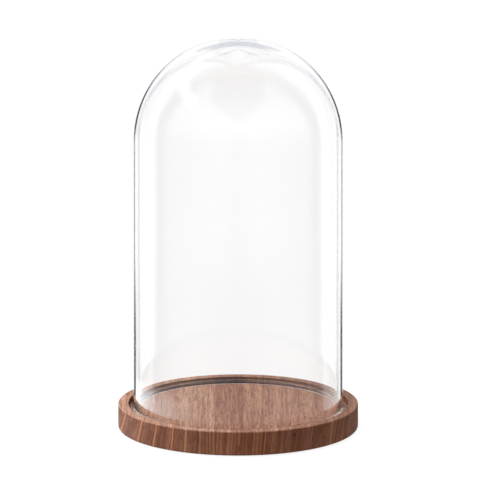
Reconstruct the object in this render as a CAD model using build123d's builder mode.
from build123d import *
import math
import os

# Bell jar display dome: a blown glass dome with a thick crown and a flat-ground
# foot, standing loose in the shallow tray of a round wooden base.  The base is
# edge-glued from two boards and stands on four thin rubber pads.
#
# Frame: origin on the dome's axis at the level of the pads' resting faces,
# +Z up, -Y towards the viewer, the wood's grain along Y.  Millimetres.

os.makedirs("parts", exist_ok=True)

# ---- rubber pads ----
pad_height = 1.0
pad_top_dia = 12.0        # glued face
pad_rest_dia = 11.2       # resting face
pad_circle_radius = 60.0  # pad centres, on the 45 degree diagonals
pad_edge_round = 0.3

# ---- wooden base ----
base_dia = 170.0
base_thickness = 17.3     # wood only, underside to rim
tray_dia = 155.2
tray_depth = 4.0
underside_round = 1.6
rim_outer_round = 0.8
rim_inner_round = 0.6
tray_corner_round = 0.6
glue_line_x = -16.7       # joint between the two boards
match_tolerance = 1e-3    # for finding the tray's floor ring

# ---- glass dome ----
foot_outer_dia = 148.4    # outside of the wall just above the foot
spring_outer_dia = 147.6  # outside of the wall where the cap begins
wall = 2.5
spring_height = 190.8     # cap begins this far above the rim plane
# Each cap surface is a shoulder arc struck off the axis, then a flatter crown
# arc.  The inner one is fuller at the shoulder, so the glass thickens to the top.
outer_shift = 0.8         # shoulder centre's distance from the axis
outer_crown_radius = 88.0
inner_shift = 5.0
inner_crown_radius = 80.6
bead_radius = 1.85        # fire-polished bead at the foot
bead_centre_radius = 73.05
bead_centre_height = 1.7  # below bead_radius: leaves a flat ground ring
corner_round = 1.6        # profile vertices in the Z band below
corner_band = (0.2, 4.0)  # lower and upper limit above the wall's start
ground_cut_width = 12.0
ground_cut_depth = 10.0

# ---- levels ----
z_rim = pad_height + base_thickness
z_floor = z_rim - tray_depth  # floor of the tray: the dome's foot stands here
z_spring = z_rim + spring_height
z_wall_start = z_floor + bead_centre_height


def crown_arc(shoulder_radius, shift, crown_radius):
    """Centre height of a crown arc tangent to its shoulder, and the angle where they meet."""
    drop = math.sqrt((crown_radius - shoulder_radius) ** 2 - shift**2)
    z_centre = z_spring - drop
    return z_centre, math.degrees(math.atan2(z_spring - z_centre, shift))


def make_glass_dome():
    """Revolve the wall, cap and bead about the dome's axis."""
    foot_radius = foot_outer_dia / 2
    outer_spring = spring_outer_dia / 2
    inner_spring = outer_spring - wall
    outer_shoulder = outer_spring - outer_shift
    inner_shoulder = inner_spring - inner_shift
    z_outer, outer_angle = crown_arc(outer_shoulder, outer_shift, outer_crown_radius)
    z_inner, inner_angle = crown_arc(inner_shoulder, inner_shift, inner_crown_radius)
    wall_outer = (foot_radius, z_wall_start)
    wall_inner = (foot_radius - wall, z_wall_start)

    with BuildPart() as dome:
        with BuildSketch(Plane.XZ) as profile:
            with BuildLine():
                # outer surface, upwards
                Line(wall_outer, (outer_spring, z_spring))
                CenterArc((outer_shift, z_spring), outer_shoulder, 0, outer_angle)
                CenterArc((0, z_outer), outer_crown_radius, outer_angle, 90 - outer_angle)
                # through the glass on the axis
                Line((0, z_outer + outer_crown_radius), (0, z_inner + inner_crown_radius))
                # inner surface, and across the foot of the wall
                CenterArc((0, z_inner), inner_crown_radius, inner_angle, 90 - inner_angle)
                CenterArc((inner_shift, z_spring), inner_shoulder, 0, inner_angle)
                Line((inner_spring, z_spring), wall_inner)
                Line(wall_inner, wall_outer)
            make_face()
            with Locations((bead_centre_radius, z_wall_start)):
                Circle(bead_radius)
            # round any profile vertices whose Z lies in the band
            band_low, band_high = (z_wall_start + limit for limit in corner_band)
            corners = profile.vertices().filter_by(lambda v: band_low < v.Z < band_high)
            fillet(corners, radius=corner_round)
            # flat-ground foot
            with Locations((bead_centre_radius, z_floor - ground_cut_depth / 2)):
                Rectangle(ground_cut_width, ground_cut_depth, mode=Mode.SUBTRACT)
        revolve(axis=Axis.Z)
    return dome.part


def make_base_board(side):
    """Turn the whole base, then keep the board on one side of the glue line."""
    tray_radius = tray_dia / 2
    with BuildPart() as board:
        with BuildSketch(Plane.XY.offset(pad_height)):
            Circle(base_dia / 2)
        extrude(amount=base_thickness)
        with BuildSketch(Plane.XY.offset(z_rim)):
            Circle(tray_radius)
        extrude(amount=-tray_depth, mode=Mode.SUBTRACT)

        rings = board.edges().filter_by(GeomType.CIRCLE)
        fillet(rings.group_by(Axis.Z)[0], radius=underside_round)
        # at the rim, the outer ring (largest radius) and then the inner one
        for index, radius in ((-1, rim_outer_round), (0, rim_inner_round)):
            rings = board.edges().filter_by(GeomType.CIRCLE)
            fillet(rings.group_by(Axis.Z)[-1].sort_by(SortBy.RADIUS)[index], radius=radius)
        # where the tray's wall meets its floor
        floor_ring = (
            board.edges()
            .filter_by(GeomType.CIRCLE)
            .filter_by(
                lambda e: abs(e.radius - tray_radius) < match_tolerance
                and abs(e.center().Z - z_floor) < match_tolerance
            )
        )
        fillet(floor_ring, radius=tray_corner_round)
        split(bisect_by=Plane.YZ.offset(glue_line_x), keep=side)
    return board.part


def make_foot_pad(x, y):
    """A round pad, slightly narrower where it rests, with its lower edge rounded."""
    with BuildPart() as pad:
        for z, diameter in ((0, pad_rest_dia), (pad_height, pad_top_dia)):
            with BuildSketch(Plane.XY.move(Location((x, y, z)))):
                Circle(diameter / 2)
        loft()
        fillet(
            pad.edges().filter_by(GeomType.CIRCLE).sort_by(Axis.Z)[0],
            radius=pad_edge_round,
        )
    return pad.part


pieces = {
    "glass_dome": make_glass_dome(),
    "base_left_board": make_base_board(Keep.BOTTOM),  # -X side of the glue line
    "base_right_board": make_base_board(Keep.TOP),    # +X side
}
pad_offset = pad_circle_radius * math.sqrt(0.5)
for depth_name, y in (("front", -pad_offset), ("back", pad_offset)):
    for side_name, x in (("left", -pad_offset), ("right", pad_offset)):
        pieces[f"foot_pad_{depth_name}_{side_name}"] = make_foot_pad(x, y)

for name, piece in pieces.items():
    piece.label = name
    export_step(piece, f"parts/{name}.step")
